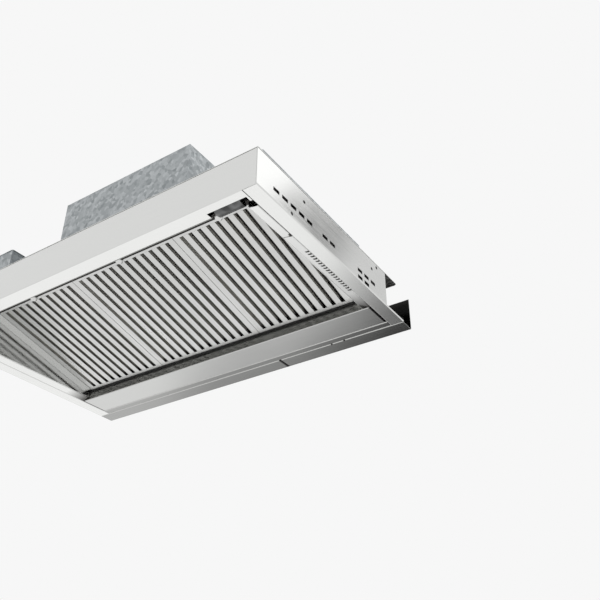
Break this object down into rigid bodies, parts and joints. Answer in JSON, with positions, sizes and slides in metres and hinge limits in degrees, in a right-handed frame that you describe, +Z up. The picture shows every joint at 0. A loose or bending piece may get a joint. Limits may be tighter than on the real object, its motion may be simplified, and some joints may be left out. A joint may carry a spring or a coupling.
{
  "type": "range hood insert",
  "caption": "Stainless range hood liner with tilted baffle filters, plenum, blower chamber, duct collar with damper flaps, lamps and a rocking control paddle.",
  "frame": {"origin": "middle of the wall face's lower edge, in the plane of the bottom rails", "axes": "+X across the hood, +Y towards the wall, +Z up into the cabinet"},
  "size_m": [0.919, 0.581, 0.368],
  "materials": {
    "liner_steel": "brushed stainless sheet",
    "filter_steel": "fine-grained stainless sheet",
    "galvanised_steel": "hot-dip galvanised sheet",
    "wheel_steel": "galvanised blower wheel",
    "bright_pin": "bright drawn steel",
    "damper_aluminium": "mill-finish aluminium",
    "lamp_trim": "satin chrome",
    "lamp_glass": "frosted glass",
    "motor_paint": "black baked enamel",
    "bracket_paint": "black zinc",
    "capacitor_plastic": "white ABS case",
    "switch_plastic": "black polyamide",
    "bushing_rubber": "black rubber",
    "paddle_steel": "grey satin steel",
    "latch_steel": "satin stainless"
  },
  "bodies": {
    "housing": {"side_panel_right": "liner_steel", "side_panel_left": "liner_steel", "front_panel": "liner_steel", "rear_flange": "liner_steel", "rear_strip": "liner_steel", "rear_filler_panel": "liner_steel", "recess_rear_wall": "liner_steel", "filter_rear_rail": "liner_steel", "roof_plate": "liner_steel", "recess_side_web_right": "liner_steel", "recess_side_web_left": "liner_steel", "side_ledge_right": "liner_steel", "side_ledge_left": "liner_steel", "corner_cover_right": "liner_steel", "corner_cover_left": "liner_steel", "lamp_plate": "liner_steel", "lamp_can_right": "galvanised_steel", "lamp_can_left": "galvanised_steel", "lamp_bezel_right": "lamp_trim", "lamp_bezel_left": "lamp_trim", "lamp_lens_right": "lamp_glass", "lamp_lens_left": "lamp_glass", "plenum_box": "galvanised_steel", "blower_chamber": "galvanised_steel", "duct_collar": "galvanised_steel", "damper_rod": "bright_pin", "scroll_wrap": "galvanised_steel", "scroll_cheek_right": "galvanised_steel", "scroll_cheek_left": "galvanised_steel", "outlet_plate": "galvanised_steel", "motor_body": "motor_paint", "motor_bracket": "bracket_paint", "capacitor": "capacitor_plastic", "paddle_bracket": "galvanised_steel", "paddle_pin": "bright_pin", "switch_box": "switch_plastic", "junction_box": "galvanised_steel", "junction_cover": "galvanised_steel", "wire_bushing": "bushing_rubber"},
    "blower_rotor": {"blower_wheel": "wheel_steel", "motor_shaft": "bright_pin"},
    "damper_front": {"damper_flap_front": "damper_aluminium"},
    "damper_rear": {"damper_flap_rear": "damper_aluminium"},
    "paddle": {"control_paddle": "paddle_steel"},
    "filter_right": {"filter_right_frame": "filter_steel", "filter_right_lower_slats": "filter_steel", "filter_right_upper_slats": "filter_steel"},
    "latch_right": {"filter_right_latch": "latch_steel"},
    "filter_centre": {"filter_centre_frame": "filter_steel", "filter_centre_lower_slats": "filter_steel", "filter_centre_upper_slats": "filter_steel"},
    "latch_centre": {"filter_centre_latch": "latch_steel"},
    "filter_left": {"filter_left_frame": "filter_steel", "filter_left_lower_slats": "filter_steel", "filter_left_upper_slats": "filter_steel"},
    "latch_left": {"filter_left_latch": "latch_steel"}
  },
  "joints": [
    {"name": "filter_right_drop", "type": "hinge", "parent": "housing", "child": "filter_right", "pos_m": [0, -0.1424, 0.02223], "axis": [1, 0, 0], "range_deg": [0, 70]},
    {"name": "latch_right_slide", "type": "slide", "parent": "filter_right", "child": "latch_right", "axis": [0, 0.9717, -0.2362], "range_m": [0, 0.004], "stiffness_N_per_m": 300},
    {"name": "filter_centre_drop", "type": "hinge", "parent": "housing", "child": "filter_centre", "pos_m": [0, -0.1424, 0.02223], "axis": [1, 0, 0], "range_deg": [0, 70]},
    {"name": "latch_centre_slide", "type": "slide", "parent": "filter_centre", "child": "latch_centre", "axis": [0, 0.9717, -0.2362], "range_m": [0, 0.004], "stiffness_N_per_m": 300},
    {"name": "filter_left_drop", "type": "hinge", "parent": "housing", "child": "filter_left", "pos_m": [0, -0.1424, 0.02223], "axis": [1, 0, 0], "range_deg": [0, 70]},
    {"name": "latch_left_slide", "type": "slide", "parent": "filter_left", "child": "latch_left", "axis": [0, 0.9717, -0.2362], "range_m": [0, 0.004], "stiffness_N_per_m": 300},
    {"name": "blower_spin", "type": "hinge", "parent": "housing", "child": "blower_rotor", "pos_m": [0, -0.3645, 0.23], "axis": [1, 0, 0], "continuous": true},
    {"name": "damper_front_open", "type": "hinge", "parent": "housing", "child": "damper_front", "pos_m": [0, -0.3, 0.34], "axis": [-1, 0, 0], "range_deg": [0, 75]},
    {"name": "damper_rear_open", "type": "hinge", "parent": "housing", "child": "damper_rear", "pos_m": [0, -0.3, 0.34], "axis": [1, 0, 0], "range_deg": [0, 75]},
    {"name": "paddle_rock", "type": "hinge", "parent": "housing", "child": "paddle", "pos_m": [0, -0.5485, 0.0199], "axis": [1, 0, 0], "range_deg": [-10, 10], "stiffness_Nm_per_rad": 0.2}
  ]
}
